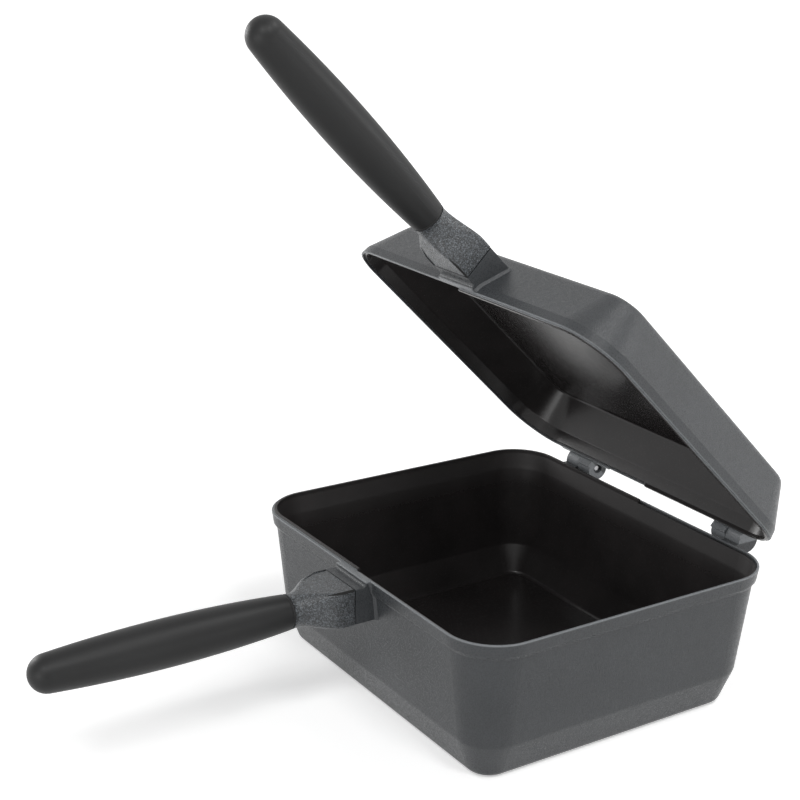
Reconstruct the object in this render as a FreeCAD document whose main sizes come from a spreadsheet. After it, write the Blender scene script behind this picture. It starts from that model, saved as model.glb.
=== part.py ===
import FreeCAD, Part
import math
import os
import re
from FreeCAD import Placement, Rotation, Vector
import Sketcher

os.makedirs("parts", exist_ok=True)
doc = FreeCAD.newDocument("flip_pan")

# Driving dimensions in millimetres and degrees.
# Pan frame: origin at the centre of the lower pan's base, handles along -Y, hinge at +Y.
SIZES = [
    # rim shared by both pans, seen from above
    ("rim_width", 260.0),
    ("rim_depth", 228.0),
    ("rim_corner_radius", 32.5),
    ("rim_height", 94.0),
    ("closed_gap", 0.2),
    ("open_angle", 44.64),
    # lower pan, side profile: inset from the rim outline at each height
    ("band_height", 8.0),
    ("band_inset", 1.2),
    ("band_step", 3.0),
    ("wall_inset", 3.4),
    ("knee_height", 24.0),
    ("knee_inset", 9.9),
    ("base_inset", 18.9),
    ("base_edge_radius", 6.0),
    ("knee_radius", 9.0),
    ("floor_thickness", 4.0),
    ("plate_inset", 28.0),
    ("plate_lap", 2.0),
    ("inner_neck_drop", 12.0),
    ("inner_neck_inset", 6.5),
    ("inner_neck_radius", 12.0),
    ("inner_knee_height", 25.0),
    ("inner_knee_inset", 12.9),
    ("inner_floor_inset", 20.8),
    ("inner_floor_radius", 3.0),
    ("inner_knee_radius", 6.0),
    # upper pan, side profile
    ("lid_depth", 35.5),
    ("lid_band_height", 6.0),
    ("lid_band_inset", 1.0),
    ("roof_inset", 15.5),
    ("roof_edge_radius", 6.5),
    ("roof_thickness", 3.0),
    ("lid_inner_knee_height", 9.4),
    ("lid_inner_knee_inset", 5.2),
    ("lid_inner_knee_radius", 3.0),
    ("roof_inner_inset", 17.5),
    ("roof_inner_radius", 2.5),
    # interlocking rim: the tongue changes side at the middle of the pan
    ("tongue_inset", 1.7),
    ("tongue_thickness", 1.9),
    ("tongue_height", 1.2),
    ("tongue_gap", 0.25),
    ("tongue_edge_radius", 0.35),
    ("rim_edge_radius", 0.5),
    # hinge
    ("hinge_setback", 12.4),
    ("knuckle_radius", 8.0),
    ("knuckle_inner_end", 62.5),
    ("knuckle_width", 12.5),
    ("knuckle_gap", 0.5),
    ("arm_top_drop", 0.8),
    ("arm_root_drop", 15.0),
    ("pad_reach", 0.8),
    ("pad_drop", 4.2),
    ("flange_reach", 2.2),
    ("flange_height", 3.4),
    ("flange_start", 42.0),
    ("flange_end", 94.0),
    ("pin_radius", 2.0),
    ("pin_clearance", 0.05),
    ("pin_seat_depth", 9.0),
    ("pin_recess", 1.6),
    ("pin_end_chamfer", 0.3),
    ("counterbore_radius", 3.5),
    ("counterbore_depth", 2.4),
    # handle lug cast with each pan and the tenon inside the bracket
    ("seam_reach", 10.6),
    ("seam_gap", 0.5),
    ("lug_half_width", 17.5),
    ("lug_near", 3.2),
    ("lug_far", 26.2),
    ("lug_edge_radius", 0.6),
    ("lug_root", 3.0),
    ("web_reach", 1.6),
    ("web_near", 0.8),
    ("ledge_reach", 3.0),
    ("ledge_edge_radius", 0.8),
    ("hollow_radius", 2.0),
    ("tenon_half_width", 9.0),
    ("tenon_near", 9.8),
    ("tenon_far", 21.4),
    ("tenon_length", 18.0),
    ("tenon_corner", 2.0),
    ("tenon_gap", 0.1),
    # bracket: a square block that narrows to the round end of the grip
    ("bracket_length", 36.1),
    ("bracket_chamfer", 0.4),
    ("block_length", 6.0),
    ("block_half_width", 17.8),
    ("block_near", 2.9),
    ("block_far", 26.5),
    ("block_corner", 1.1),
    ("shoulder_half_width", 17.2),
    ("shoulder_near", 3.0),
    ("shoulder_far", 26.4),
    ("shoulder_corner", 2.2),
    ("flank_half_width", 15.7),
    ("flank_near", 3.2),
    ("flank_far", 26.0),
    ("flank_corner", 3.8),
    ("waist_half_width", 13.4),
    ("waist_near", 3.8),
    ("waist_far", 25.8),
    ("waist_corner", 6.3),
    ("neck_half_width", 11.3),
    ("neck_near", 4.7),
    ("neck_far", 25.9),
    ("neck_corner", 9.4),
    ("shoulder_share", 0.36),
    ("flank_share", 0.5),
    ("waist_share", 0.64),
    ("neck_share", 0.79),
    ("grip_axis", 15.7),
    ("ferrule_radius", 10.7),
    ("ferrule_flat", 0.15),
    ("lower_grip_angle", 0.0),
    ("upper_grip_angle", 0.85),
    # cover plate on the side of the bracket that faces the other handle
    ("cover_depth", 3.4),
    ("cover_thickness", 2.0),
    ("cover_half_width", 16.2),
    ("cover_shoulder_place", 9.0),
    ("cover_shoulder_radius", 12.0),
    ("cover_length", 20.6),
    ("cover_end_half_width", 10.6),
    ("cover_end_radius", 4.0),
    ("cover_gap", 0.25),
    # magnet under the cover
    ("magnet_radius", 4.4),
    ("magnet_thickness", 3.0),
    ("magnet_setback", 14.6),
    ("magnet_gap", 0.1),
    # two screws under the cover, side by side, through the bracket into the tenon
    ("screw_radius", 1.9),
    ("screw_hole_gap", 0.2),
    ("screw_head_radius", 3.4),
    ("screw_head_height", 1.8),
    ("screw_length", 11.0),
    ("screw_setback", 6.2),
    ("screw_spacing", 10.4),
    ("screw_head_chamfer", 0.5),
    ("screw_web", 1.5),
    ("screw_slot_width", 0.9),
    ("screw_slot_depth", 0.8),
    # washer, stud, insert and grip
    ("washer_thickness", 1.2),
    ("washer_inset", 0.5),
    ("stud_radius", 4.0),
    ("stud_seat", 11.0),
    ("stud_length", 52.0),
    ("stud_gap", 0.03),
    ("stud_chamfer", 0.8),
    ("insert_radius", 6.4),
    ("insert_length", 36.0),
    ("insert_groove_depth", 0.7),
    ("insert_groove_width", 4.0),
    ("grip_start_radius", 10.9),
    ("grip_belly_radius", 14.2),
    ("grip_belly_place", 77.0),
    ("grip_length", 160.1),
    ("grip_edge_radius", 0.8),
    ("cut_overrun", 5.0),
]

sheet = doc.addObject("Spreadsheet::Sheet", "Sizes")
for row, (alias, number) in enumerate(SIZES, start=1):
    sheet.set("A%d" % row, alias)
    sheet.set("B%d" % row, str(number))
    sheet.setAlias("B%d" % row, alias)
doc.recompute()

ALIASES = set(alias for alias, number in SIZES)

# How far two places may lie apart and still count as one, when edges are picked by their boxes.
TOUCH = 0.02


def ref(text):
    """A sum of named sizes, written as references to the sheet."""
    def qualified(match):
        word = match.group(0)
        return "Sizes." + word if word in ALIASES else word

    return re.sub("[a-z][a-z_]*", qualified, text)


def val(text):
    """Value of a sum of named sizes."""
    return float(sheet.evalExpression(ref(text)))


def new_body(name):
    body = doc.addObject("PartDesign::Body", name)
    body.Label = name
    return body


def origin_plane(body, role):
    for feature in body.Origin.OriginFeatures:
        if feature.Role == role:
            return feature
    raise RuntimeError(role)


def new_sketch(body, name, role, height):
    """Sketch parallel to one of the body's own origin planes, at a named height above it."""
    sketch = body.newObject("Sketcher::SketchObject", name)
    sketch.AttachmentSupport = [(origin_plane(body, role), "")]
    sketch.MapMode = "FlatFace"
    sketch.AttachmentOffset = Placement(Vector(0, 0, val(height)), Rotation())
    sketch.setExpression("AttachmentOffset.Base.z", ref(height))
    return sketch


def dimension(sketch, name, kind, *args):
    """Adds one driving dimension, bound to a sum of named sizes (the last argument)."""
    index = sketch.addConstraint(Sketcher.Constraint(kind, *args[:-1], val(args[-1])))
    sketch.renameConstraint(index, name)
    sketch.setExpression("Constraints." + name, ref(args[-1]))


def corner_arc(x, y, radius, start):
    circle = Part.Circle(Vector(x, y, 0), Vector(0, 0, 1), radius)
    return Part.ArcOfCircle(circle, math.radians(start), math.radians(start + 90))


def line(x0, y0, x1, y1):
    return Part.LineSegment(Vector(x0, y0, 0), Vector(x1, y1, 0))


def rounded_rectangle(sketch, half_width, half_height, corner, middle):
    """Rectangle with four equal corner arcs, centred on x = 0 and y = middle."""
    w, h, r, m = val(half_width), val(half_height), val(corner), val(middle)
    sketch.addGeometry([
        line(r - w, m - h, w - r, m - h),
        corner_arc(w - r, m - h + r, r, -90),
        line(w, m - h + r, w, m + h - r),
        corner_arc(w - r, m + h - r, r, 0),
        line(w - r, m + h, r - w, m + h),
        corner_arc(r - w, m + h - r, r, 90),
        line(-w, m + h - r, -w, m - h + r),
        corner_arc(r - w, m - h + r, r, 180),
    ])
    for edge in range(8):
        sketch.addConstraint(Sketcher.Constraint("Tangent", edge, 2, (edge + 1) % 8, 1))
    sketch.addConstraint([Sketcher.Constraint("Horizontal", edge) for edge in (0, 4)])
    sketch.addConstraint([Sketcher.Constraint("Vertical", edge) for edge in (2, 6)])
    sketch.addConstraint([Sketcher.Constraint("Equal", 1, edge) for edge in (3, 5, 7)])
    dimension(sketch, "corner", "Radius", 1, corner)
    dimension(sketch, "right", "DistanceX", -1, 1, 2, 1, half_width)
    dimension(sketch, "width", "DistanceX", 6, 1, 2, 1, "2 * (%s)" % half_width)
    dimension(sketch, "top", "DistanceY", -1, 1, 4, 1, "(%s) + (%s)" % (middle, half_height))
    dimension(sketch, "height", "DistanceY", 0, 1, 4, 1, "2 * (%s)" % half_height)
    return sketch


def half_rectangle(sketch, half_width, half_height, corner, overlap):
    """The half of a rounded rectangle from x = -overlap to its right side."""
    w, h, r, s = val(half_width), val(half_height), val(corner), val(overlap)
    sketch.addGeometry([
        line(-s, -h, w - r, -h),
        corner_arc(w - r, r - h, r, -90),
        line(w, r - h, w, h - r),
        corner_arc(w - r, h - r, r, 0),
        line(w - r, h, -s, h),
        line(-s, h, -s, -h),
    ])
    for edge in range(4):
        sketch.addConstraint(Sketcher.Constraint("Tangent", edge, 2, edge + 1, 1))
    sketch.addConstraint(Sketcher.Constraint("Coincident", 4, 2, 5, 1))
    sketch.addConstraint(Sketcher.Constraint("Coincident", 5, 2, 0, 1))
    sketch.addConstraint([Sketcher.Constraint("Horizontal", edge) for edge in (0, 4)])
    sketch.addConstraint([Sketcher.Constraint("Vertical", edge) for edge in (2, 5)])
    sketch.addConstraint(Sketcher.Constraint("Equal", 1, 3))
    dimension(sketch, "corner", "Radius", 1, corner)
    dimension(sketch, "right", "DistanceX", -1, 1, 2, 1, half_width)
    dimension(sketch, "overlap", "DistanceX", 5, 1, -1, 1, overlap)
    dimension(sketch, "top", "DistanceY", -1, 1, 4, 1, half_height)
    dimension(sketch, "height", "DistanceY", 0, 1, 4, 1, "2 * (%s)" % half_height)
    return sketch


def pin_point(sketch, label, edge, end, x, y):
    """Fixes one sketch point at two sums of named sizes."""
    if x == "0":
        sketch.addConstraint(Sketcher.Constraint("PointOnObject", edge, end, -2))
    else:
        dimension(sketch, label + "x", "DistanceX", -1, 1, edge, end, x)
    if y == "0":
        sketch.addConstraint(Sketcher.Constraint("PointOnObject", edge, end, -1))
    else:
        dimension(sketch, label + "y", "DistanceY", -1, 1, edge, end, y)


def circle(sketch, x, y, radius, label="c"):
    index = sketch.addGeometry(Part.Circle(Vector(val(x), val(y), 0), Vector(0, 0, 1), val(radius)))
    dimension(sketch, label + "radius", "Radius", index, radius)
    pin_point(sketch, label, index, 3, x, y)
    return sketch


def pair_of_circles(sketch, y, radius):
    """Two equal circles, one for each handle screw."""
    circle(sketch, "-screw_spacing / 2", y, radius, "l")
    return circle(sketch, "screw_spacing / 2", y, radius, "r")


def extrude(body, kind, name, sketch, length, backwards=False):
    """Pad or Pocket of a sketch by a sum of named sizes."""
    feature = body.newObject("PartDesign::" + kind, name)
    feature.Profile = sketch
    feature.Type = "Length"
    feature.Length = val(length)
    feature.setExpression("Length", ref(length))
    feature.Reversed = backwards
    return feature


def loft(body, kind, name, sections, ruled):
    feature = body.newObject("PartDesign::" + kind, name)
    feature.Profile = sections[0]
    feature.Sections = sections[1:]
    feature.Ruled = ruled
    return feature


def revolve(body, name, sketch):
    """Full turn about the body's Z axis."""
    feature = body.newObject("PartDesign::Revolution", name)
    feature.Profile = sketch
    feature.ReferenceAxis = (sketch, ["V_Axis"])
    feature.Angle = 360
    return feature


def mirror(body, name, originals):
    """Copies features to the other side of the middle plane x = 0."""
    feature = body.newObject("PartDesign::Mirrored", name)
    feature.Originals = originals
    feature.MirrorPlane = (origin_plane(body, "YZ_Plane"), [""])
    body.Tip = feature
    return feature


def edge_names(feature, test):
    """Names of the edges whose bounding box passes the test."""
    doc.recompute()
    names = []
    for index, edge in enumerate(feature.Shape.Edges, start=1):
        if test(edge.BoundBox):
            names.append("Edge%d" % index)
    return names


def round_edges(body, name, feature, names, radius):
    fillet = body.newObject("PartDesign::Fillet", name)
    fillet.Base = (feature, names)
    fillet.Radius = val(radius)
    fillet.setExpression("Radius", ref(radius))
    doc.recompute()
    return fillet


def ring(body, name, inset, height):
    """Rim outline drawn in by an inset, at a height: the corner radius shrinks with it."""
    sketch = new_sketch(body, name, "XY_Plane", height)
    return rounded_rectangle(
        sketch,
        "rim_width / 2 - (%s)" % inset,
        "rim_depth / 2 - (%s)" % inset,
        "rim_corner_radius - (%s)" % inset,
        "0",
    )


def level(box, height):
    """True for an edge that lies flat at a height."""
    return abs(box.ZMin - height) < TOUCH and abs(box.ZMax - height) < TOUCH


def section(sketch, corners):
    """Closed outline through corners given as (x, y, radius), with an arc wherever a radius is named."""
    count = len(corners)
    spots = [Vector(val(x), val(y), 0) for x, y, radius in corners]
    arcs = {}
    for k, (x, y, radius) in enumerate(corners):
        if radius == "0":
            continue
        before = (spots[k - 1] - spots[k]).normalize()
        after = (spots[(k + 1) % count] - spots[k]).normalize()
        half = before.getAngle(after) / 2
        reach = val(radius) / math.tan(half)
        inlet, outlet = spots[k] + before * reach, spots[k] + after * reach
        centre = spots[k] + (before + after).normalize() * (val(radius) / math.sin(half))
        arcs[k] = (inlet, outlet, centre, before.cross(after).z < 0)
    for k in range(count):
        nxt = (k + 1) % count
        first = arcs[k][1] if k in arcs else spots[k]
        last = arcs[nxt][0] if nxt in arcs else spots[nxt]
        sketch.addGeometry(Part.LineSegment(first, last))
    for k in range(count):
        before = (k - 1) % count
        x, y, radius = corners[k]
        if k not in arcs:
            sketch.addConstraint(Sketcher.Constraint("Coincident", before, 2, k, 1))
            pin_point(sketch, "p%d" % k, k, 1, x, y)
            continue
        inlet, outlet, centre, left = arcs[k]
        a0 = math.atan2(inlet.y - centre.y, inlet.x - centre.x)
        a1 = math.atan2(outlet.y - centre.y, outlet.x - centre.x)
        if not left:
            a0, a1 = a1, a0
        if a1 < a0:
            a1 += 2 * math.pi
        circle_through = Part.Circle(centre, Vector(0, 0, 1), val(radius))
        arc = sketch.addGeometry(Part.ArcOfCircle(circle_through, a0, a1))
        head, tail = (1, 2) if left else (2, 1)
        sketch.addConstraint(Sketcher.Constraint("Tangent", before, 2, arc, head))
        sketch.addConstraint(Sketcher.Constraint("Tangent", arc, tail, k, 1))
        dimension(sketch, "r%d" % k, "Radius", arc, radius)
        spot = sketch.addGeometry(Part.Point(spots[k]), True)
        pin_point(sketch, "p%d" % k, spot, 1, x, y)
        sketch.addConstraint(Sketcher.Constraint("PointOnObject", spot, 1, before))
        sketch.addConstraint(Sketcher.Constraint("PointOnObject", spot, 1, k))
    return sketch


def lug_flank(box):
    """True for an edge that runs along the side of the lug's near or far face, or round its ledge."""
    if box.XLength > TOUCH:
        return False
    return box.ZLength < TOUCH or max(box.YLength, box.ZLength) < val("hollow_radius + ledge_edge_radius")


def add_lug(body, side_profile, tenon_near, tenon_far):
    """Lug cast with the pan's front wall, rooted in the wall, and the tenon on its end."""
    lug = section(new_sketch(body, "LugSketch", "YZ_Plane", "0"), side_profile)
    pad = extrude(body, "Pad", "Lug", lug, "2 * lug_half_width")
    pad.Midplane = True
    round_edges(body, "LugEdge", pad, edge_names(pad, lug_flank), "lug_edge_radius")
    tenon = rounded_rectangle(
        new_sketch(body, "TenonSketch", "XZ_Plane", "rim_depth / 2 + seam_reach - seam_gap"),
        "tenon_half_width", "(%s - (%s)) / 2" % (tenon_far, tenon_near), "tenon_corner",
        "(%s + %s) / 2" % (tenon_near, tenon_far),
    )
    return extrude(body, "Pad", "Tenon", tenon, "seam_gap + tenon_length")


def add_screw_holes(body, height, length, backwards):
    """Holes for the two screw shanks in the tenon."""
    sketch = new_sketch(body, "ThreadSketch", "XY_Plane", height)
    holes = pair_of_circles(sketch, "-(rim_depth / 2 + seam_reach + screw_setback)", "screw_radius")
    extrude(body, "Pocket", "Threads", holes, length, backwards)


def inset(text):
    """Y of a line drawn in from the front of the rim outline."""
    return "-(rim_depth / 2 - (%s))" % text


def add_webs(body, wall, heights):
    """Slanted webs where the sides of the lug meet the front wall.

    The wall's outer face is given as three insets, at the heights of the webs' ends and bend.
    """
    sections = []
    ends = (("Root", "lug_half_width", "web_reach"), ("Tip", "lug_half_width + web_reach", "0"))
    for name, place, reach in ends:
        front = [(inset("%s - %s" % (depth, reach)), height, "0") for depth, height in zip(wall, heights)]
        back = [(inset("%s + lug_root / 2" % depth), height, "0") for depth, height in zip(wall, heights)]
        sketch = new_sketch(body, "Web%sSketch" % name, "YZ_Plane", place)
        sections.append(section(sketch, front + back[::-1]))
    web = loft(body, "AdditiveLoft", "Web", sections, True)
    mirror(body, "Webs", [web])


def sweep_wall(body, corners):
    """Sweeps the section of a pan's wall once round the rim outline."""
    path = ring(body, "RimPath", "0", "0")
    sketch = new_sketch(body, "WallSection", "YZ_Plane", "rim_corner_radius - rim_width / 2")
    outline = section(sketch, corners)
    wall = body.newObject("PartDesign::AdditivePipe", "Wall")
    wall.Profile = outline
    wall.Spine = (path, [])
    return wall


def build_lower_pan():
    body = new_body("lower_pan")
    add_lug(body, [
        ("-(rim_depth / 2 + seam_reach - seam_gap)", "rim_height - lug_near", "0"),
        ("-(rim_depth / 2 + seam_reach - seam_gap)", "rim_height - lug_far", "0"),
        (inset("wall_inset + lug_root"), "rim_height - lug_far", "0"),
        (inset("wall_inset + lug_root / 2"), "rim_height - band_height - band_step", "0"),
        (inset("tongue_inset"), "rim_height", "0"),
        ("-(rim_depth / 2 + ledge_reach)", "rim_height", "ledge_edge_radius"),
        ("-(rim_depth / 2 + ledge_reach)", "rim_height - lug_near", "hollow_radius"),
    ], "rim_height - tenon_far", "rim_height - tenon_near")
    under_band = "rim_height - band_height - band_step"
    add_webs(body, ["0", "wall_inset", "wall_inset + (knee_inset - wall_inset) * (%s - (rim_height - lug_far))"
                    " / (%s - knee_height)" % (under_band, under_band)],
             ["rim_height - web_near", under_band, "rim_height - lug_far"])
    outer_start = "knuckle_inner_end + knuckle_width + knuckle_gap"
    arm = section(new_sketch(body, "ArmSketch", "YZ_Plane", outer_start), [
        ("rim_depth / 2 - tongue_inset", "rim_height - arm_top_drop", "0"),
        ("rim_depth / 2 - wall_inset - lug_root / 2", "rim_height - band_height - band_step", "0"),
        ("rim_depth / 2 - wall_inset - lug_root / 2", "rim_height - arm_root_drop", "0"),
        ("rim_depth / 2 + hinge_setback", "rim_height - knuckle_radius", "0"),
        ("rim_depth / 2 + hinge_setback", "rim_height - arm_top_drop", "0"),
    ])
    arm_pad = extrude(body, "Pad", "Arm", arm, "knuckle_width")
    barrel = circle(new_sketch(body, "KnuckleSketch", "YZ_Plane", outer_start),
                    "rim_depth / 2 + hinge_setback", "rim_height", "knuckle_radius")
    barrel_pad = extrude(body, "Pad", "Knuckle", barrel, "knuckle_width")
    seat = circle(new_sketch(body, "PinSeatSketch", "YZ_Plane", outer_start),
                  "rim_depth / 2 + hinge_setback", "rim_height", "pin_radius")
    seat_cut = extrude(body, "Pocket", "PinSeat", seat, "pin_seat_depth", True)
    mirror(body, "Knuckles", [arm_pad, barrel_pad, seat_cut])
    sweep_wall(body, [
        (inset("plate_inset + plate_lap"), "0", "0"),
        (inset("base_inset"), "0", "base_edge_radius"),
        (inset("knee_inset"), "knee_height", "knee_radius"),
        (inset("wall_inset"), "rim_height - band_height - band_step", "0"),
        (inset("band_inset"), "rim_height - band_height", "0"),
        (inset("0"), "rim_height", "rim_edge_radius"),
        (inset("tongue_inset"), "rim_height", "0"),
        (inset("tongue_inset"), "rim_height + tongue_height", "tongue_edge_radius"),
        (inset("tongue_inset + tongue_thickness"), "rim_height + tongue_height", "tongue_edge_radius"),
        (inset("tongue_inset + tongue_thickness"), "rim_height - tongue_height", "0"),
        (inset("inner_neck_inset"), "rim_height - inner_neck_drop", "inner_neck_radius"),
        (inset("inner_knee_inset"), "inner_knee_height", "inner_knee_radius"),
        (inset("inner_floor_inset"), "floor_thickness", "inner_floor_radius"),
        (inset("plate_inset + plate_lap"), "floor_thickness", "0"),
    ])
    extrude(body, "Pad", "Floor", ring(body, "FloorSketch", "plate_inset", "0"), "floor_thickness")
    rebate = half_rectangle(
        new_sketch(body, "RebateSketch", "XY_Plane", "rim_height + tongue_height"),
        "rim_width / 2 - tongue_inset + tongue_gap", "rim_depth / 2 - tongue_inset + tongue_gap",
        "rim_corner_radius - tongue_inset + tongue_gap", "tongue_gap",
    )
    extrude(body, "Pocket", "Rebate", rebate, "2 * tongue_height + tongue_gap")
    add_screw_holes(body, "rim_height - tenon_near", "tenon_far - tenon_near", False)
    return body


def build_upper_pan():
    """The upper pan in its own frame: its rim face is z = 0 and its roof is up."""
    body = new_body("upper_pan")
    add_lug(body, [
        ("-(rim_depth / 2 + seam_reach - seam_gap)", "lug_near", "0"),
        ("-(rim_depth / 2 + seam_reach - seam_gap)", "lug_far", "0"),
        (inset("roof_inset - lug_root"), "lug_far", "0"),
        (inset("lid_band_inset + lug_root"), "lid_inner_knee_height", "0"),
        (inset("tongue_inset"), "0", "0"),
        ("-(rim_depth / 2 + ledge_reach)", "0", "ledge_edge_radius"),
        ("-(rim_depth / 2 + ledge_reach)", "lug_near", "hollow_radius"),
    ], "tenon_near", "tenon_far")
    add_webs(body, ["0", "lid_band_inset", "lid_band_inset + (roof_inset - lid_band_inset)"
                    " * (lug_far - lid_band_height) / (lid_depth - lid_band_height)"],
             ["web_near", "lid_band_height", "lug_far"])
    flange = section(new_sketch(body, "FlangeSketch", "YZ_Plane", "flange_start"), [
        ("rim_depth / 2 - tongue_inset", "0", "0"),
        ("rim_depth / 2 + flange_reach", "0", "0"),
        ("rim_depth / 2 + flange_reach", "flange_height", "0"),
        ("rim_depth / 2 - tongue_inset", "flange_height", "0"),
    ])
    flange_pad = extrude(body, "Pad", "Flange", flange, "flange_end - flange_start")
    pad_y = "rim_depth / 2 + hinge_setback - knuckle_radius - pad_reach"
    block = section(new_sketch(body, "BlockSketch", "YZ_Plane", "knuckle_inner_end"), [
        ("rim_depth / 2 - tongue_inset", "0", "0"),
        (pad_y, "0", "0"),
        (pad_y, "-pad_drop", "0"),
        ("rim_depth / 2 + hinge_setback", "-pad_drop", "0"),
        ("rim_depth / 2 + hinge_setback", "flange_height", "0"),
        ("rim_depth / 2 - tongue_inset", "flange_height", "0"),
    ])
    block_pad = extrude(body, "Pad", "Block", block, "knuckle_width")
    barrel = circle(new_sketch(body, "KnuckleSketch", "YZ_Plane", "knuckle_inner_end"),
                    "rim_depth / 2 + hinge_setback", "-closed_gap", "knuckle_radius")
    barrel_pad = extrude(body, "Pad", "Knuckle", barrel, "knuckle_width")
    bore = circle(new_sketch(body, "BoreSketch", "YZ_Plane", "knuckle_inner_end"),
                  "rim_depth / 2 + hinge_setback", "-closed_gap", "pin_radius + pin_clearance")
    bore_cut = extrude(body, "Pocket", "Bore", bore, "knuckle_width", True)
    sink = circle(new_sketch(body, "CounterboreSketch", "YZ_Plane", "knuckle_inner_end"),
                  "rim_depth / 2 + hinge_setback", "-closed_gap", "counterbore_radius")
    sink_cut = extrude(body, "Pocket", "Counterbore", sink, "counterbore_depth", True)
    mirror(body, "Knuckles", [flange_pad, block_pad, barrel_pad, bore_cut, sink_cut])
    sweep_wall(body, [
        (inset("plate_inset + plate_lap"), "lid_depth", "0"),
        (inset("plate_inset + plate_lap"), "lid_depth - roof_thickness", "0"),
        (inset("roof_inner_inset"), "lid_depth - roof_thickness", "roof_inner_radius"),
        (inset("lid_inner_knee_inset"), "lid_inner_knee_height", "lid_inner_knee_radius"),
        (inset("tongue_inset + tongue_thickness"), "tongue_height", "0"),
        (inset("tongue_inset + tongue_thickness"), "-tongue_height", "tongue_edge_radius"),
        (inset("tongue_inset"), "-tongue_height", "tongue_edge_radius"),
        (inset("tongue_inset"), "0", "0"),
        (inset("0"), "0", "rim_edge_radius"),
        (inset("lid_band_inset"), "lid_band_height", "0"),
        (inset("roof_inset"), "lid_depth", "roof_edge_radius"),
    ])
    roof = ring(body, "RoofSketch", "plate_inset", "lid_depth")
    extrude(body, "Pad", "Roof", roof, "roof_thickness", True)
    sketch = new_sketch(body, "RebateSketch", "XY_Plane", "-tongue_height")
    sketch.AttachmentOffset = Placement(sketch.AttachmentOffset.Base, Rotation(Vector(0, 0, 1), 180))
    rebate = half_rectangle(
        sketch, "rim_width / 2 - tongue_inset + tongue_gap", "rim_depth / 2 - tongue_inset + tongue_gap",
        "rim_corner_radius - tongue_inset + tongue_gap", "tongue_gap",
    )
    extrude(body, "Pocket", "Rebate", rebate, "2 * tongue_height + tongue_gap", True)
    add_screw_holes(body, "tenon_near", "tenon_far - tenon_near", True)
    return body


def build_pin(name):
    """Hinge pin, built along Z from its blind end."""
    body = new_body(name)
    pin_length = "pin_seat_depth + knuckle_gap + knuckle_width - pin_recess"
    profile = section(new_sketch(body, "PinSketch", "XZ_Plane", "0"), [
        ("0", "0", "0"),
        ("pin_radius - pin_end_chamfer", "0", "0"),
        ("pin_radius", "pin_end_chamfer", "0"),
        ("pin_radius", pin_length + " - pin_end_chamfer", "0"),
        ("pin_radius - pin_end_chamfer", pin_length, "0"),
        ("0", pin_length, "0"),
    ])
    revolve(body, "Pin", profile)
    return body


# Sections of the bracket: distance from the seam, half width, near side, far side, corner radius.
BLOCK = [
    ("0", "block_half_width - bracket_chamfer", "block_near + bracket_chamfer",
     "block_far - bracket_chamfer", "block_corner"),
    ("bracket_chamfer", "block_half_width", "block_near", "block_far", "block_corner"),
    ("block_length", "block_half_width", "block_near", "block_far", "block_corner"),
]
FLARE = [
    tuple(place + end for end in ("_share * bracket_length", "_half_width", "_near", "_far", "_corner"))
    for place in ("shoulder", "flank", "waist", "neck")
]


def bracket_section(body, name, distance, half_width, near, far, corner):
    """Rounded rectangle across the bracket, between its near and far sides."""
    sketch = new_sketch(body, name, "XZ_Plane", "rim_depth / 2 + seam_reach + " + distance)
    half_height, middle = "(%s - (%s)) / 2" % (far, near), "(%s + %s) / 2" % (near, far)
    return rounded_rectangle(sketch, half_width, half_height, corner, middle)


def ferrule_sketch(body, name, angle):
    """Sketch on the bracket's round end, centred on the grip's axis and square to it."""
    sketch = new_sketch(body, name, "XZ_Plane", "rim_depth / 2 + seam_reach + bracket_length")
    sketch.AttachmentOffset = Placement(
        Vector(0, val("grip_axis"), sketch.AttachmentOffset.Base.z),
        Rotation(Vector(-1, 0, 0), val(angle)),
    )
    sketch.setExpression("AttachmentOffset.Base.y", ref("grip_axis"))
    return sketch


def cover_outline(sketch, front, gap):
    """Outline of the cover plate, grown by a gap that closes towards its narrow end by the grip."""
    wide, slim = "(cover_half_width + %s)" % gap, "cover_end_half_width"
    start, end = "-(%s - %s)" % (front, gap), "-(%s + cover_length)" % front
    shoulder = "-(%s + cover_shoulder_place)" % front
    return section(sketch, [
        ("-" + wide, start, "0"),
        ("-" + wide, shoulder, "cover_shoulder_radius"),
        ("-" + slim, end, "cover_end_radius"),
        (slim, end, "cover_end_radius"),
        (wide, shoulder, "cover_shoulder_radius"),
        (wide, start, "0"),
    ])


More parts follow.
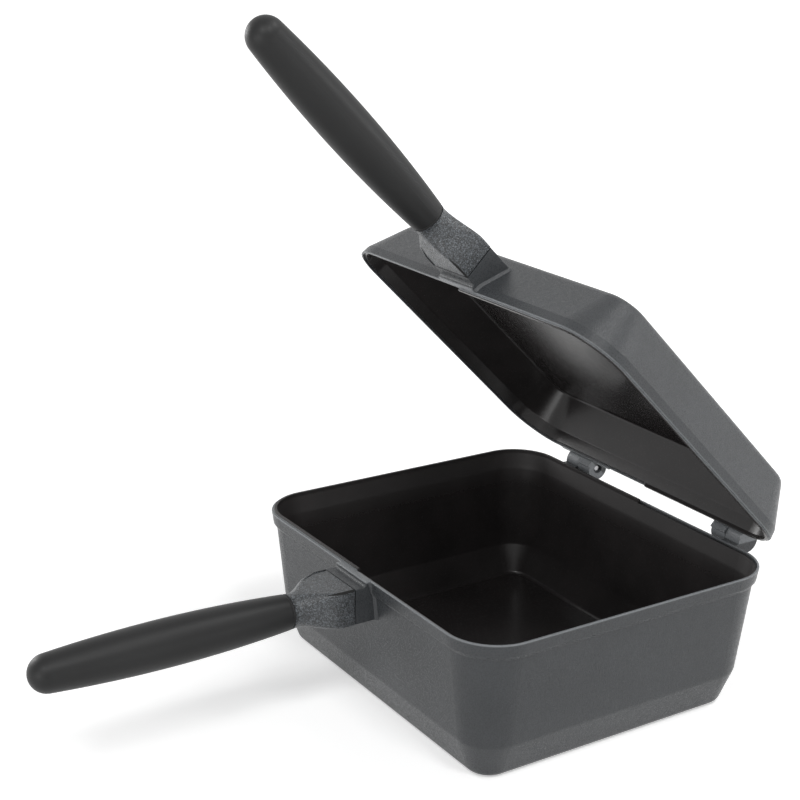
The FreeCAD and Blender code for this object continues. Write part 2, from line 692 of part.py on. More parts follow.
def build_bracket(name, angle):
    """Bracket in the frame of the pan that carries it: rim plane at z = 0, bracket above it."""
    body = new_body(name)
    front = "rim_depth / 2 + seam_reach"
    blocks = [bracket_section(body, "Block%d" % index, *row) for index, row in enumerate(BLOCK)]
    flares = [bracket_section(body, "Flare%d" % index, *row) for index, row in enumerate(FLARE)]
    end = rounded_rectangle(ferrule_sketch(body, "FerruleSketch", angle),
                            "ferrule_radius", "ferrule_radius", "ferrule_radius - ferrule_flat", "0")
    loft(body, "AdditiveLoft", "Block", blocks, True)
    loft(body, "AdditiveLoft", "Flare", [blocks[-1]] + flares + [end], False)
    socket = rounded_rectangle(
        new_sketch(body, "SocketSketch", "XZ_Plane", front), "tenon_half_width + tenon_gap",
        "(tenon_far - tenon_near) / 2 + tenon_gap", "tenon_corner", "(tenon_near + tenon_far) / 2",
    )
    extrude(body, "Pocket", "Socket", socket, "tenon_length + tenon_gap", True)
    stud = circle(ferrule_sketch(body, "StudSketch", angle), "0", "0", "stud_radius + stud_gap")
    extrude(body, "Pocket", "StudBore", stud, "stud_seat + stud_gap")
    cover_back = "cover_depth + cover_thickness"
    recess = cover_outline(new_sketch(body, "RecessSketch", "XY_Plane", cover_back), front, "cover_gap")
    extrude(body, "Pocket", "CoverRecess", recess, cover_back)
    magnet = circle(new_sketch(body, "MagnetSketch", "XY_Plane", "0"), "0", "-(%s + magnet_setback)" % front,
                    "magnet_radius + magnet_gap")
    extrude(body, "Pocket", "MagnetSeat", magnet, cover_back + " + magnet_thickness + magnet_gap", True)
    at = "-(%s + screw_setback)" % front
    shanks = new_sketch(body, "ScrewSketch", "XY_Plane", "0")
    holes = pair_of_circles(shanks, at, "screw_radius + screw_hole_gap")
    extrude(body, "Pocket", "ScrewHoles", holes, "tenon_near", True)
    heads = new_sketch(body, "SinkSketch", "XY_Plane", "0")
    sinks = pair_of_circles(heads, at, "screw_head_radius + screw_hole_gap")
    extrude(body, "Pocket", "ScrewSinks", sinks, "tenon_near - screw_web", True)
    return body


def build_cover(name):
    """Cover plate, built face down on z = 0 with its front edge on y = 0."""
    body = new_body(name)
    outline = cover_outline(new_sketch(body, "CoverSketch", "XY_Plane", "0"), "0", "0")
    extrude(body, "Pad", "Cover", outline, "cover_thickness")
    return body


def build_magnet(name):
    """Flat round magnet that stands on z = 0."""
    body = new_body(name)
    disc = circle(new_sketch(body, "MagnetSketch", "XY_Plane", "0"), "0", "0", "magnet_radius")
    extrude(body, "Pad", "Magnet", disc, "magnet_thickness")
    return body


def build_screws(name):
    """Two pan-head screws, head down, shank up along Z."""
    body = new_body(name)
    profile = section(new_sketch(body, "ScrewSketch", "XZ_Plane", "0"), [
        ("0", "0", "0"),
        ("screw_head_radius - screw_head_chamfer", "0", "0"),
        ("screw_head_radius", "screw_head_chamfer", "0"),
        ("screw_head_radius", "screw_head_height", "0"),
        ("screw_radius", "screw_head_height", "0"),
        ("screw_radius", "screw_head_height + screw_length", "0"),
        ("0", "screw_head_height + screw_length", "0"),
    ])
    screw = revolve(body, "Screw", profile)
    slot = section(new_sketch(body, "SlotSketch", "XY_Plane", "0"), [
        ("-(screw_head_radius + cut_overrun)", "-screw_slot_width / 2", "0"),
        ("screw_head_radius + cut_overrun", "-screw_slot_width / 2", "0"),
        ("screw_head_radius + cut_overrun", "screw_slot_width / 2", "0"),
        ("-(screw_head_radius + cut_overrun)", "screw_slot_width / 2", "0"),
    ])
    cut = extrude(body, "Pocket", "Slot", slot, "screw_slot_depth", True)
    body.AllowCompound = True
    pair = body.newObject("PartDesign::LinearPattern", "Pair")
    pair.Originals = [screw, cut]
    pair.Direction = (origin_plane(body, "X_Axis"), [""])
    pair.Length = val("screw_spacing")
    pair.setExpression("Length", ref("screw_spacing"))
    pair.Occurrences = 2
    body.Tip = pair
    return body


def build_washer(name):
    """Heat-resistant ring between the bracket and the grip, built along Z."""
    body = new_body(name)
    profile = section(new_sketch(body, "WasherSketch", "XZ_Plane", "0"), [
        ("stud_radius + stud_gap", "0", "0"),
        ("ferrule_radius - washer_inset", "0", "0"),
        ("ferrule_radius - washer_inset", "washer_thickness", "0"),
        ("stud_radius + stud_gap", "washer_thickness", "0"),
    ])
    revolve(body, "Washer", profile)
    return body


def build_stud(name):
    """Steel stud from the bracket into the grip, built along Z from its seat in the bracket."""
    body = new_body(name)
    profile = section(new_sketch(body, "StudSketch", "XZ_Plane", "0"), [
        ("0", "0", "0"),
        ("stud_radius - stud_chamfer", "0", "0"),
        ("stud_radius", "stud_chamfer", "0"),
        ("stud_radius", "stud_length - stud_chamfer", "0"),
        ("stud_radius - stud_chamfer", "stud_length", "0"),
        ("0", "stud_length", "0"),
    ])
    revolve(body, "Stud", profile)
    return body


def build_insert(name):
    """Threaded sleeve held in the grip by a groove, built along Z from the grip's end face."""
    body = new_body(name)
    profile = section(new_sketch(body, "InsertSketch", "XZ_Plane", "0"), [
        ("stud_radius + stud_gap", "0", "0"),
        ("insert_radius", "0", "0"),
        ("insert_radius", "(insert_length - insert_groove_width) / 2", "0"),
        ("insert_radius - insert_groove_depth", "(insert_length - insert_groove_width) / 2", "0"),
        ("insert_radius - insert_groove_depth", "(insert_length + insert_groove_width) / 2", "0"),
        ("insert_radius", "(insert_length + insert_groove_width) / 2", "0"),
        ("insert_radius", "insert_length", "0"),
        ("stud_radius + stud_gap", "insert_length", "0"),
    ])
    revolve(body, "Insert", profile)
    return body


def build_grip(name):
    """Barrel grip moulded over the insert: a long arc with its belly near the middle, and a round end."""
    belly, radius = val("grip_belly_place"), val("grip_belly_radius")
    start, length = val("grip_start_radius"), val("grip_length")
    bulge = radius - start
    arc_radius = (belly * belly + bulge * bulge) / (2 * bulge)
    sink = arc_radius - radius
    reach = length - belly
    dome = (arc_radius * arc_radius - reach * reach - sink * sink) / (2 * (arc_radius - reach))
    centre = length - dome
    turn = math.atan2(centre - belly, sink)
    body = new_body(name)
    sketch = new_sketch(body, "GripSketch", "XZ_Plane", "0")
    hole = val("stud_radius + stud_gap")
    groove = val("insert_radius - insert_groove_depth")
    low = val("(insert_length - insert_groove_width) / 2")
    high = val("(insert_length + insert_groove_width) / 2")
    end = val("stud_length - stud_seat - washer_thickness + stud_gap")
    barrel = Part.Circle(Vector(-sink, belly, 0), Vector(0, 0, 1), arc_radius)
    cap = Part.Circle(Vector(0, centre, 0), Vector(0, 0, 1), dome)
    first = math.atan2(-belly, start + sink)
    sketch.addGeometry([
        line(val("insert_radius"), 0, start, 0),
        Part.ArcOfCircle(barrel, first, turn),
        Part.ArcOfCircle(cap, turn, math.pi / 2),
        line(0, length, 0, end),
        line(0, end, hole, end),
        line(hole, end, hole, val("insert_length")),
        line(hole, val("insert_length"), val("insert_radius"), val("insert_length")),
        line(val("insert_radius"), val("insert_length"), val("insert_radius"), high),
        line(val("insert_radius"), high, groove, high),
        line(groove, high, groove, low),
        line(groove, low, val("insert_radius"), low),
        line(val("insert_radius"), low, val("insert_radius"), 0),
    ])
    count = 12
    for edge in range(count):
        kind = "Tangent" if edge == 1 else "Coincident"
        sketch.addConstraint(Sketcher.Constraint(kind, edge, 2, (edge + 1) % count, 1))
    pin_point(sketch, "a", 0, 1, "insert_radius", "0")
    pin_point(sketch, "b", 0, 2, "grip_start_radius", "0")
    dimension(sketch, "belly", "DistanceY", -1, 1, 1, 3, "grip_belly_place")
    dimension(sketch, "swell", "Radius", 1,
              "(grip_belly_place ^ 2 + (grip_belly_radius - grip_start_radius) ^ 2)"
              " / (2 * (grip_belly_radius - grip_start_radius))")
    sketch.addConstraint(Sketcher.Constraint("PointOnObject", 2, 3, -2))
    pin_point(sketch, "e", 2, 2, "0", "grip_length")
    bore_depth = "stud_length - stud_seat - washer_thickness + stud_gap"
    pin_point(sketch, "f", 3, 2, "0", bore_depth)
    pin_point(sketch, "g", 4, 2, "stud_radius + stud_gap", bore_depth)
    pin_point(sketch, "i", 5, 2, "stud_radius + stud_gap", "insert_length")
    pin_point(sketch, "j", 6, 2, "insert_radius", "insert_length")
    pin_point(sketch, "k", 7, 2, "insert_radius", "(insert_length + insert_groove_width) / 2")
    pin_point(sketch, "l", 8, 2, "insert_radius - insert_groove_depth",
              "(insert_length + insert_groove_width) / 2")
    pin_point(sketch, "o", 9, 2, "insert_radius - insert_groove_depth",
              "(insert_length - insert_groove_width) / 2")
    pin_point(sketch, "q", 10, 2, "insert_radius", "(insert_length - insert_groove_width) / 2")
    grip = revolve(body, "Grip", sketch)

    def rim(box):
        return level(box, 0) and abs(box.XMax - start) < TOUCH

    round_edges(body, "GripEdge", grip, edge_names(grip, rim), "grip_edge_radius")
    return body


def move(x, y, z):
    return Placement(Vector(x, y, z), Rotation())


def turn_about(axis, angle):
    return Placement(Vector(0, 0, 0), Rotation(Vector(*axis), angle))


# Where each pan's own frame stands: rim plane at z = 0, and the pan above it.
hinge_y = val("rim_depth / 2 + hinge_setback")
lower_frame = move(0, 0, val("rim_height")) * turn_about((0, 1, 0), 180)
upper_frame = move(0, hinge_y, val("rim_height")) * turn_about((1, 0, 0), -val("open_angle"))
upper_frame = upper_frame * move(0, -hinge_y, val("closed_gap"))

pieces = [build_lower_pan()]
upper_pan = build_upper_pan()
upper_pan.Placement = upper_frame
pieces.append(upper_pan)

blind_end = val("knuckle_inner_end + knuckle_width + knuckle_gap + pin_seat_depth")
for name, side in (("left_hinge_pin", -1), ("right_hinge_pin", 1)):
    pin = build_pin(name)
    place = move(side * blind_end, hinge_y, val("rim_height"))
    pin.Placement = place * turn_about((0, 1, 0), -90 * side)
    pieces.append(pin)

front = val("rim_depth / 2 + seam_reach")
under_cover = val("cover_depth + cover_thickness")
for side, frame in (("lower", lower_frame), ("upper", upper_frame)):
    angle = side + "_grip_angle"
    along = frame * move(0, -front - val("bracket_length"), val("grip_axis"))
    along = along * turn_about((1, 0, 0), 90 - val(angle))
    grip_place = along * move(0, 0, val("washer_thickness"))
    screw_place = move(-val("screw_spacing / 2"), -front - val("screw_setback"),
                       val("tenon_near - screw_web - screw_head_height"))
    magnet_place = move(0, -front - val("magnet_setback"), under_cover)
    for piece, place in (
        (build_bracket(side + "_handle_bracket", angle), frame),
        (build_cover(side + "_bracket_cover"), frame * move(0, -front, val("cover_depth"))),
        (build_magnet(side + "_handle_magnet"), frame * magnet_place),
        (build_screws(side + "_bracket_screws"), frame * screw_place),
        (build_washer(side + "_grip_washer"), along),
        (build_stud(side + "_handle_stud"), along * move(0, 0, -val("stud_seat"))),
        (build_insert(side + "_grip_insert"), grip_place),
        (build_grip(side + "_grip"), grip_place),
    ):
        piece.Placement = place
        pieces.append(piece)

doc.recompute()
for item in doc.Objects:
    if "Invalid" in item.State or "Error" in item.State:
        raise RuntimeError("%s of %s failed" % (item.Label, item.getParentGeoFeatureGroup()))
for piece in pieces:
    shape = piece.Shape
    if shape.isNull() or not shape.isValid() or not shape.Solids:
        raise RuntimeError(piece.Label + " has no valid solid")
for piece in pieces:
    piece.Shape.exportStep(os.path.join("parts", piece.Label + ".step"))
    print(piece.Label, len(piece.Shape.Solids), "solid,", round(piece.Shape.Volume), "mm3")
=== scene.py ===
import math
import bpy
from mathutils import Matrix, Vector

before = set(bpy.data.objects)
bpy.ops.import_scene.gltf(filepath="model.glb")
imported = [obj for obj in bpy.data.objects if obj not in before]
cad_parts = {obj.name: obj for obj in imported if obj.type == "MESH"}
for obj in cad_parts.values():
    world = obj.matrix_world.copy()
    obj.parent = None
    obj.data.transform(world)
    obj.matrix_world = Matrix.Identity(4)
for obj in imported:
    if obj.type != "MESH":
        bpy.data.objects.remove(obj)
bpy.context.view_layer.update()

scene = bpy.context.scene
scene.view_settings.view_transform = "Standard"

# Camera at the photograph's viewpoint: place in metres, angles in degrees, picture values in pixels.
EYE = Vector((0.76898, -0.58509, 0.50136))
AZIMUTH, ELEVATION, ROLL = 57.170, 18.409, 0.938
PICTURE_PX, FOCAL_PX = 800.0, 1623.39
CENTRE_X, CENTRE_Y = 392.54, 403.69
SENSOR_WIDTH = 36.0
NEAREST, FARTHEST = 0.05, 40.0

# Softboxes round the pan: name, direction from the pan, side in metres, power in watts.
LAMP_DISTANCE = 2.2
LAMPS = [
    ("right_top", (0.58, -0.09, 0.81), 0.5, 10.0),
    ("right_back", (0.95, 0.30, 0.08), 1.0, 5.0),
    ("rear", (0.44, 0.82, 0.42), 0.5, 7.0),
    ("top_back", (0.24, 0.41, 0.88), 0.5, 10.0),
    ("front_low", (0.30, -0.95, 0.10), 1.0, 12.0),
    ("front_top", (0.40, -0.57, 0.71), 0.4, 9.0),
    ("left", (-0.90, -0.35, 0.30), 0.7, 14.0),
]

# Studio: the soft light's level, and the level that looks white.
SOFT_LEVEL, WHITE_LEVEL = 0.22, 1.0

# Floor, in metres, and its glow as (distance from the pan, level) near and far.
FLOOR_HALF, FLOOR_DROP, FLOOR_PALENESS = 8.0, 0.0005, 0.9
GLOW_NEAR, GLOW_FAR = (0.3, 0.45), (1.8, 1.0)

# Rim outline and hinge of the frame, in millimetres and degrees.
RIM_HALF_WIDTH, RIM_HALF_DEPTH, RIM_CORNER = 130.0, 114.0, 32.5
RIM_HEIGHT, HINGE_Y, OPEN_ANGLE = 94.0, 126.4, 44.64

# Middle of each pan's wall as (depth from the rim face, inset from the rim outline), and its roof or floor.
LOWER_WALL = [(-1.0, 1.55), (12.0, 5.0), (69.5, 11.4), (92.0, 20.5)]
LOWER_FLOOR = 92.0
UPPER_WALL = [(-1.0, 1.55), (3.0, 2.6), (9.4, 3.9), (34.0, 16.8)]
UPPER_ROOF = 34.0

# Bracket: where it starts along the handle, and its half width as (distance from there, half width).
BRACKET_START = 124.6
BRACKET_SIDE = [(6.0, 17.8), (13.0, 17.2), (18.0, 15.7), (23.1, 13.4)]

# Middle part of a noise, which is spread over the whole of what it drives.
NOISE_LOW, NOISE_HIGH = 0.3, 0.7

# Sprayed coating. A noise is (scale per metre, detail, roughness). Colours are (grey, warmth).
CLOUD, CLOUD_LOW, CLOUD_HIGH = (26.0, 3.0, 0.6), 0.35, 0.65
COATING_WARMTH, COATING_SPREAD = -0.07, 0.08
FLECK_SCALE, FLECK_SHARE, FLECK_GREY = 1800.0, 0.5, (0.24, -0.10)
COATING_ROUGH = (0.20, 0.50)
COATING_BUMP = 0.0006

# Pans: how grey, how many bright flecks, a pale painted highlight along the rim's edge by depth in
# millimetres, and the cooking side.
PAN_GREY, PAN_SPARKLE, PAN_SPECULAR = 0.044, 0.05, 0.32
EDGE_HIGHLIGHT_FULL, EDGE_HIGHLIGHT_END, EDGE_HIGHLIGHT_SHARE, EDGE_HIGHLIGHT_GREY = 0.3, 1.1, 0.9, (0.22, -0.05)
INSIDE_DARK, INSIDE_PALE = (0.022, 0.020, 0.020, 1.0), (0.030, 0.027, 0.027, 1.0)
GRAIN, GRAIN_RELIEF, GRAIN_INSIDE = (1500.0, 2.0, 0.6), 0.35, 0.03
INSIDE_ROUGH = (0.20, 0.28)
MOUTH_ROUGH, MOUTH_START, MOUTH_END = 0.30, 8.0, 24.0

# Brackets: as the pans, and the painted shade in a dark strip beside the cover's gap, in millimetres.
BRACKET_GREY, BRACKET_SPARKLE, BRACKET_SPECULAR = 0.026, 0.6, 0.5
PEBBLE, PEBBLE_RELIEF = (1300.0, 0.0), 0.5
SHADE_LINE_WIDTH, SHADE_LINE_DEPTH, SHADE_LINE_FADE, SHADE_LINE_END = 1.3, 4.0, 17.0, 24.0
SHADE_LINE_GREY, SHADE_LINE_ROUGH = 0.003, 0.9

# Grips.
GRIP_DARK, GRIP_PALE, GRIP_ROUGH, GRIP_SPECULAR = (0.007, -0.02), (0.010, -0.02), (0.42, 0.52), 0.3
GRIP_CLOUD, GRIP_PEBBLE, GRIP_RELIEF, GRIP_BUMP = 18.0, 2200.0, 0.15, 0.00015

# Bare metals and the ring between bracket and grip.
STEEL, BRASS = (0.42, 0.42, 0.43), (0.60, 0.47, 0.22)
METAL_GRAIN, METAL_DARKEST, METAL_ROUGH = (900.0, 3.0, 0.6), 0.85, (0.3, 0.45)
RING_GRAIN, RING_DARK, RING_PALE, RING_ROUGH = 1400.0, 0.006, 0.010, (0.6, 0.75)


def add_camera():
    azimuth, elevation, roll = (math.radians(angle) for angle in (AZIMUTH, ELEVATION, ROLL))
    back = Vector((
        math.sin(azimuth) * math.cos(elevation),
        -math.cos(azimuth) * math.cos(elevation),
        math.sin(elevation),
    ))
    level = (-back).cross(Vector((0, 0, 1))).normalized()
    upright = level.cross(-back)
    right = level * math.cos(roll) + upright * math.sin(roll)
    up = upright * math.cos(roll) - level * math.sin(roll)
    data = bpy.data.cameras.new("camera")
    data.sensor_width = SENSOR_WIDTH
    data.lens = FOCAL_PX * SENSOR_WIDTH / PICTURE_PX
    data.shift_x = (PICTURE_PX / 2 - CENTRE_X) / PICTURE_PX
    data.shift_y = (CENTRE_Y - PICTURE_PX / 2) / PICTURE_PX
    data.clip_start, data.clip_end = NEAREST, FARTHEST
    camera = bpy.data.objects.new("camera", data)
    rows = [[right[i], up[i], back[i], EYE[i]] for i in range(3)]
    camera.matrix_world = Matrix(rows + [[0, 0, 0, 1]])
    scene.collection.objects.link(camera)
    scene.camera = camera


def add_softbox(name, direction, size, power):
    data = bpy.data.lights.new(name, "AREA")
    data.shape = "SQUARE"
    data.size = size
    data.energy = power
    lamp = bpy.data.objects.new(name, data)
    lamp.location = LAMP_DISTANCE * Vector(direction).normalized()
    aim = Vector((0, 0, RIM_HEIGHT / 1000))
    lamp.rotation_euler = (aim - lamp.location).to_track_quat("-Z", "Y").to_euler()
    scene.collection.objects.link(lamp)


def seen_directly(nodes, links):
    """1 for rays from the camera and for those reflected or let through, 0 for soft light."""
    path = nodes.new("ShaderNodeLightPath")
    factor = path.outputs["Is Camera Ray"]
    for kind in ("Is Glossy Ray", "Is Transmission Ray"):
        either = nodes.new("ShaderNodeMath")
        either.operation = "MAXIMUM"
        links.new(factor, either.inputs[0])
        links.new(path.outputs[kind], either.inputs[1])
        factor = either.outputs[0]
    return factor


def add_world():
    """White studio to look at, and a plain soft light."""
    world = bpy.data.worlds.new("studio")
    scene.world = world
    world.use_nodes = True
    nodes, links = world.node_tree.nodes, world.node_tree.links
    nodes.clear()
    mix = nodes.new("ShaderNodeMixShader")
    links.new(seen_directly(nodes, links), mix.inputs["Fac"])
    for index, strength in ((1, SOFT_LEVEL), (2, WHITE_LEVEL)):
        shader = nodes.new("ShaderNodeBackground")
        shader.inputs["Color"].default_value = (1, 1, 1, 1)
        shader.inputs["Strength"].default_value = strength
        links.new(shader.outputs[0], mix.inputs[index])
    out = nodes.new("ShaderNodeOutputWorld")
    links.new(mix.outputs[0], out.inputs["Surface"])


def add_floor():
    """Pale floor that looks white, more so away from the pan, but keeps the shadow under it."""
    half = FLOOR_HALF
    corners = [(-half, -half, 0), (half, -half, 0), (half, half, 0), (-half, half, 0)]
    mesh = bpy.data.meshes.new("floor")
    mesh.from_pydata(corners, [], [(0, 1, 2, 3)])
    floor = bpy.data.objects.new("floor", mesh)
    floor.location.z = -FLOOR_DROP
    scene.collection.objects.link(floor)
    material = bpy.data.materials.new("floor")
    material.use_nodes = True
    nodes, links = material.node_tree.nodes, material.node_tree.links
    nodes.clear()
    paper = nodes.new("ShaderNodeBsdfDiffuse")
    paper.inputs["Color"].default_value = (FLOOR_PALENESS, FLOOR_PALENESS, FLOOR_PALENESS, 1)
    glow = nodes.new("ShaderNodeEmission")
    distance = nodes.new("ShaderNodeVectorMath")
    distance.operation = "LENGTH"
    links.new(nodes.new("ShaderNodeTexCoord").outputs["Object"], distance.inputs[0])
    fade = nodes.new("ShaderNodeMapRange")
    for index, number in enumerate((GLOW_NEAR[0], GLOW_FAR[0], GLOW_NEAR[1], GLOW_FAR[1])):
        fade.inputs[index + 1].default_value = number
    links.new(distance.outputs["Value"], fade.inputs[0])
    strength = nodes.new("ShaderNodeMath")
    strength.operation = "MULTIPLY"
    links.new(fade.outputs[0], strength.inputs[1])
    links.new(seen_directly(nodes, links), strength.inputs[0])
    links.new(strength.outputs[0], glow.inputs["Strength"])
    both = nodes.new("ShaderNodeAddShader")
    links.new(paper.outputs[0], both.inputs[0])
    links.new(glow.outputs[0], both.inputs[1])
    out = nodes.new("ShaderNodeOutputMaterial")
    links.new(both.outputs[0], out.inputs["Surface"])
    mesh.materials.append(material)


class Graph:
    """Small helper for building a material's nodes round its Principled shader."""

    def __init__(self, name):
        self.material = bpy.data.materials.new(name)
        self.material.use_nodes = True
        self.nodes = self.material.node_tree.nodes
        self.links = self.material.node_tree.links
        self.shader = self.nodes["Principled BSDF"]
        self.place = self.nodes.new("ShaderNodeTexCoord").outputs["Object"]

    def feed(self, socket, value):
        if isinstance(value, bpy.types.NodeSocket):
            self.links.new(value, socket)
        else:
            socket.default_value = value

    def math(self, operation, a, b=0.0):
        node = self.nodes.new("ShaderNodeMath")
        node.operation = operation
        self.feed(node.inputs[0], a)
        self.feed(node.inputs[1], b)
        return node.outputs[0]

    def total(self, first, *others):
        for other in others:
            first = self.math("ADD", first, other)
        return first

    def product(self, first, *others):
        for other in others:
            first = self.math("MULTIPLY", first, other)
        return first

    def split(self, vector):
        node = self.nodes.new("ShaderNodeSeparateXYZ")
        self.links.new(vector, node.inputs[0])
        return node.outputs

    def noise(self, scale, detail=2.0, roughness=0.5):
        node = self.nodes.new("ShaderNodeTexNoise")
        self.links.new(self.place, node.inputs["Vector"])
        node.inputs["Scale"].default_value = scale
        node.inputs["Detail"].default_value = detail
        node.inputs["Roughness"].default_value = roughness
        return node.outputs["Fac"]

    def flecks(self, scale):
        """Two random numbers for each cell of about 1 / scale metres."""
        cells = self.nodes.new("ShaderNodeTexVoronoi")
        self.links.new(self.place, cells.inputs["Vector"])
        cells.inputs["Scale"].default_value = scale
        tint = self.nodes.new("ShaderNodeSeparateColor")
        self.links.new(cells.outputs["Color"], tint.inputs[0])
        return tint.outputs[0], tint.outputs[1]

    def span(self, value, low, high, to_low, to_high):
        """Value from low to high, spread over to_low to to_high."""
        node = self.nodes.new("ShaderNodeMapRange")
        for index, number in enumerate((value, low, high, to_low, to_high)):
            self.feed(node.inputs[index], number)
        return node.outputs[0]

    def mix(self, factor, a, b):
        """Blend of two numbers."""
        node = self.nodes.new("ShaderNodeMix")
        for index, value in ((0, factor), (2, a), (3, b)):
            self.feed(node.inputs[index], value)
        return node.outputs[0]

    def blend(self, factor, a, b):
        """Blend of two colours."""
        node = self.nodes.new("ShaderNodeMix")
        node.data_type = "RGBA"
        for index, value in ((0, factor), (6, a), (7, b)):
            self.feed(node.inputs[index], value)
        return node.outputs[2]

    def bump(self, height, strength, distance):
        node = self.nodes.new("ShaderNodeBump")
        node.inputs["Strength"].default_value = strength
        node.inputs["Distance"].default_value = distance
        self.links.new(height, node.inputs["Height"])
        self.links.new(node.outputs["Normal"], self.shader.inputs["Normal"])

    def finish(self, colour, rough, metallic=0.0, specular=0.5):
        self.feed(self.shader.inputs["Base Color"], colour)
        self.feed(self.shader.inputs["Roughness"], rough)
        self.shader.inputs["Metallic"].default_value = metallic
        self.shader.inputs["Specular IOR Level"].default_value = specular
        return self.material


def grey(level, warmth=0.0):
    return (level * (1 + warmth), level, level * (1 - warmth), 1.0)


def rim_inset(g, x, y):
    """Distance in from the rim outline, in millimetres."""
    beyond_x = g.math("SUBTRACT", g.math("ABSOLUTE", x), RIM_HALF_WIDTH - RIM_CORNER)
    beyond_y = g.math("SUBTRACT", g.math("ABSOLUTE", y), RIM_HALF_DEPTH - RIM_CORNER)
    out_x, out_y = g.math("MAXIMUM", beyond_x, 0.0), g.math("MAXIMUM", beyond_y, 0.0)
    round_part = g.math("SQRT", g.total(g.product(out_x, out_x), g.product(out_y, out_y)))
    flat_part = g.math("MINIMUM", g.math("MAXIMUM", beyond_x, beyond_y), 0.0)
    return g.math("SUBTRACT", RIM_CORNER, g.total(round_part, flat_part))


def profile(g, place, points):
    """Value along a bent line, through (place, value) points."""
    (low, value), *others = points
    result = value
    for high, next_value in others:
        result = g.total(result, g.span(place, low, high, 0.0, next_value - value))
        low, value = high, next_value
    return result


def pan_frame(g, tilted):
    """Place in a pan's own frame, in millimetres: x, y and depth from its rim face."""
    x, y, z = (g.product(part, 1000.0) for part in g.split(g.place))
    depth = g.math("SUBTRACT", RIM_HEIGHT, z)
    if not tilted:
        return x, y, depth
    back = g.math("SUBTRACT", y, HINGE_Y)
    cos, sin = math.cos(math.radians(OPEN_ANGLE)), math.sin(math.radians(OPEN_ANGLE))
    lid_y = g.total(g.product(back, cos), g.product(depth, sin), HINGE_Y)
    lid_depth = g.math("SUBTRACT", g.product(back, sin), g.product(depth, cos))
    return x, lid_y, lid_depth


def inside_of(g, tilted):
    """1 on the cooking side of a pan and 0 on its outside, and the depth from the rim face."""
    wall, bottom = (UPPER_WALL, UPPER_ROOF) if tilted else (LOWER_WALL, LOWER_FLOOR)
    x, y, depth = pan_frame(g, tilted)
    inward = g.math("GREATER_THAN", rim_inset(g, x, y), profile(g, depth, wall))
    return g.product(inward, g.math("LESS_THAN", depth, bottom)), depth


def sprayed(name, level, sparkle):
    """Start of a dark grey coating: its colour and roughness vary from fleck to fleck."""
    g = Graph(name)
    cloud = g.span(g.noise(*CLOUD), CLOUD_LOW, CLOUD_HIGH, 0.0, 1.0)
    bright, dull = g.flecks(FLECK_SCALE)
    dark, pale = (grey(level * (1 + shift), COATING_WARMTH) for shift in (-COATING_SPREAD, COATING_SPREAD))
    lit = g.span(bright, 1.0 - FLECK_SHARE, 1.0, 0.0, sparkle)
    colour = g.blend(lit, g.blend(cloud, dark, pale), grey(*FLECK_GREY))
    return g, cloud, colour, g.span(dull, 0.0, 1.0, *COATING_ROUGH)


def pan_coating(name, tilted):
    """Sprayed outside, with a pale painted highlight along the rim's edges; darker and smoother on the
    cooking side.
    """
    g, cloud, colour, rough = sprayed(name, PAN_GREY, PAN_SPARKLE)
    inside, depth = inside_of(g, tilted)
    # Painted highlight: the top millimetre below the rim face is paler, standing in for light caught on the
    # rounded rim edge.
    edge_highlight = g.span(depth, EDGE_HIGHLIGHT_FULL, EDGE_HIGHLIGHT_END, EDGE_HIGHLIGHT_SHARE, 0.0)
    colour = g.blend(edge_highlight, colour, grey(*EDGE_HIGHLIGHT_GREY))
    cooking = g.blend(cloud, INSIDE_DARK, INSIDE_PALE)
    grain = g.noise(*GRAIN)
    smooth = g.span(grain, NOISE_LOW, NOISE_HIGH, *INSIDE_ROUGH)
    if not tilted:
        smooth = g.total(smooth, g.span(depth, MOUTH_START, MOUTH_END, MOUTH_ROUGH, 0.0))
    relief = g.product(grain, g.span(inside, 0.0, 1.0, 1.0, GRAIN_INSIDE))
    g.bump(relief, GRAIN_RELIEF, COATING_BUMP)
    return g.finish(g.blend(inside, colour, cooking), g.mix(inside, rough, smooth), specular=PAN_SPECULAR)


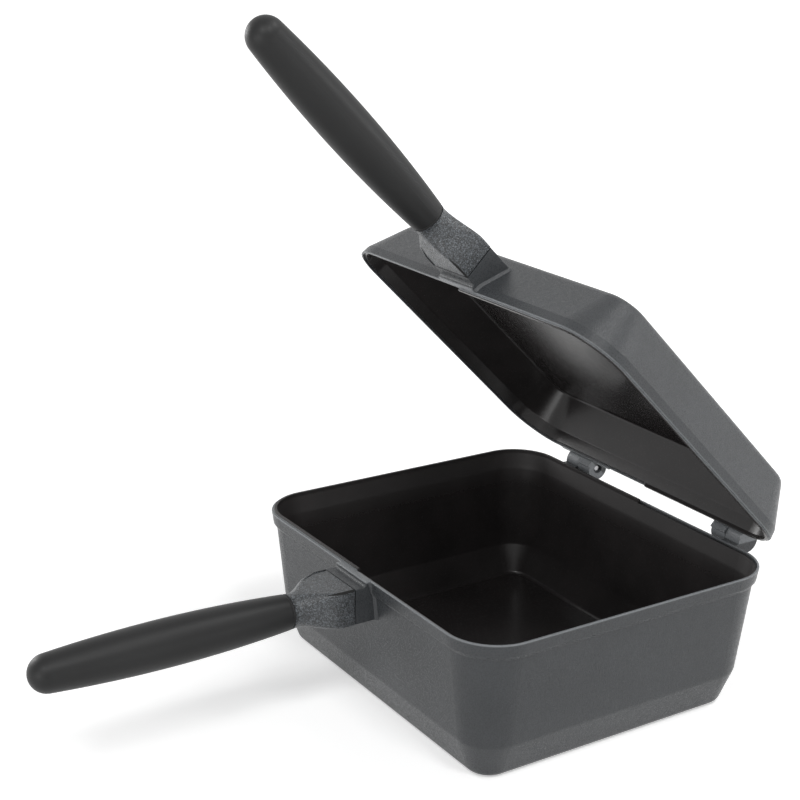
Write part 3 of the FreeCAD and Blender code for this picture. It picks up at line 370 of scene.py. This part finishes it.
def bracket_coating(name, tilted):
    """The same coating with more flecks, and painted shade: a dark, matt strip where the cover's face meets
    each side.
    """
    g, _, colour, rough = sprayed(name, BRACKET_GREY, BRACKET_SPARKLE)
    x, y, depth = pan_frame(g, tilted)
    distance = g.math("SUBTRACT", -BRACKET_START, y)
    shade_line_start = g.math("SUBTRACT", profile(g, distance, BRACKET_SIDE), SHADE_LINE_WIDTH)
    # Painted shade: a dark, matt strip along the cover's narrow gap, fading out along the bracket, stands
    # in for the gap's shadow.
    line = g.product(
        g.math("GREATER_THAN", g.math("ABSOLUTE", x), shade_line_start),
        g.math("LESS_THAN", depth, SHADE_LINE_DEPTH),
        g.span(distance, SHADE_LINE_FADE, SHADE_LINE_END, 1.0, 0.0),
    )
    g.bump(g.noise(*PEBBLE), PEBBLE_RELIEF, COATING_BUMP)
    colour = g.blend(line, colour, grey(SHADE_LINE_GREY))
    return g.finish(colour, g.mix(line, rough, SHADE_LINE_ROUGH), specular=BRACKET_SPECULAR)


def soft_grip():
    """Soft-touch black plastic: matt with a fine pebble."""
    g = Graph("soft_grip")
    fine = g.noise(GRIP_PEBBLE)
    cloud = g.span(g.noise(GRIP_CLOUD), NOISE_LOW, NOISE_HIGH, 0.0, 1.0)
    colour = g.blend(cloud, grey(*GRIP_DARK), grey(*GRIP_PALE))
    g.bump(fine, GRIP_RELIEF, GRIP_BUMP)
    return g.finish(colour, g.span(fine, NOISE_LOW, NOISE_HIGH, *GRIP_ROUGH), specular=GRIP_SPECULAR)


def turned_metal(name, colour):
    g = Graph(name)
    fine = g.noise(*METAL_GRAIN)
    darkest = tuple(METAL_DARKEST * part for part in colour)
    shade = g.blend(fine, darkest + (1,), colour + (1,))
    return g.finish(shade, g.span(fine, NOISE_LOW, NOISE_HIGH, *METAL_ROUGH), metallic=1.0)


def heat_ring():
    g = Graph("heat_ring")
    fine = g.noise(RING_GRAIN)
    shade = g.blend(fine, grey(RING_DARK), grey(RING_PALE))
    return g.finish(shade, g.span(fine, NOISE_LOW, NOISE_HIGH, *RING_ROUGH))


def dress():
    """Gives every node of the frame its material, by the end of its name."""
    lower_bracket = bracket_coating("lower_bracket_coating", False)
    upper_bracket = bracket_coating("upper_bracket_coating", True)
    finishes = [
        ("lower_pan", pan_coating("lower_coating", False)),
        ("upper_pan", pan_coating("upper_coating", True)),
        ("lower_handle_bracket", lower_bracket),
        ("lower_bracket_cover", lower_bracket),
        ("upper_handle_bracket", upper_bracket),
        ("upper_bracket_cover", upper_bracket),
        ("_insert", turned_metal("brass", BRASS)),
        ("_washer", heat_ring()),
        ("_grip", soft_grip()),
        ("", turned_metal("steel", STEEL)),
    ]
    for name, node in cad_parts.items():
        look = next(material for ending, material in finishes if name.endswith(ending))
        if not node.material_slots:
            node.data.materials.append(look)
        for slot in node.material_slots:
            slot.material = look


add_camera()
add_world()
add_floor()
dress()
for lamp in LAMPS:
    add_softbox(*lamp)
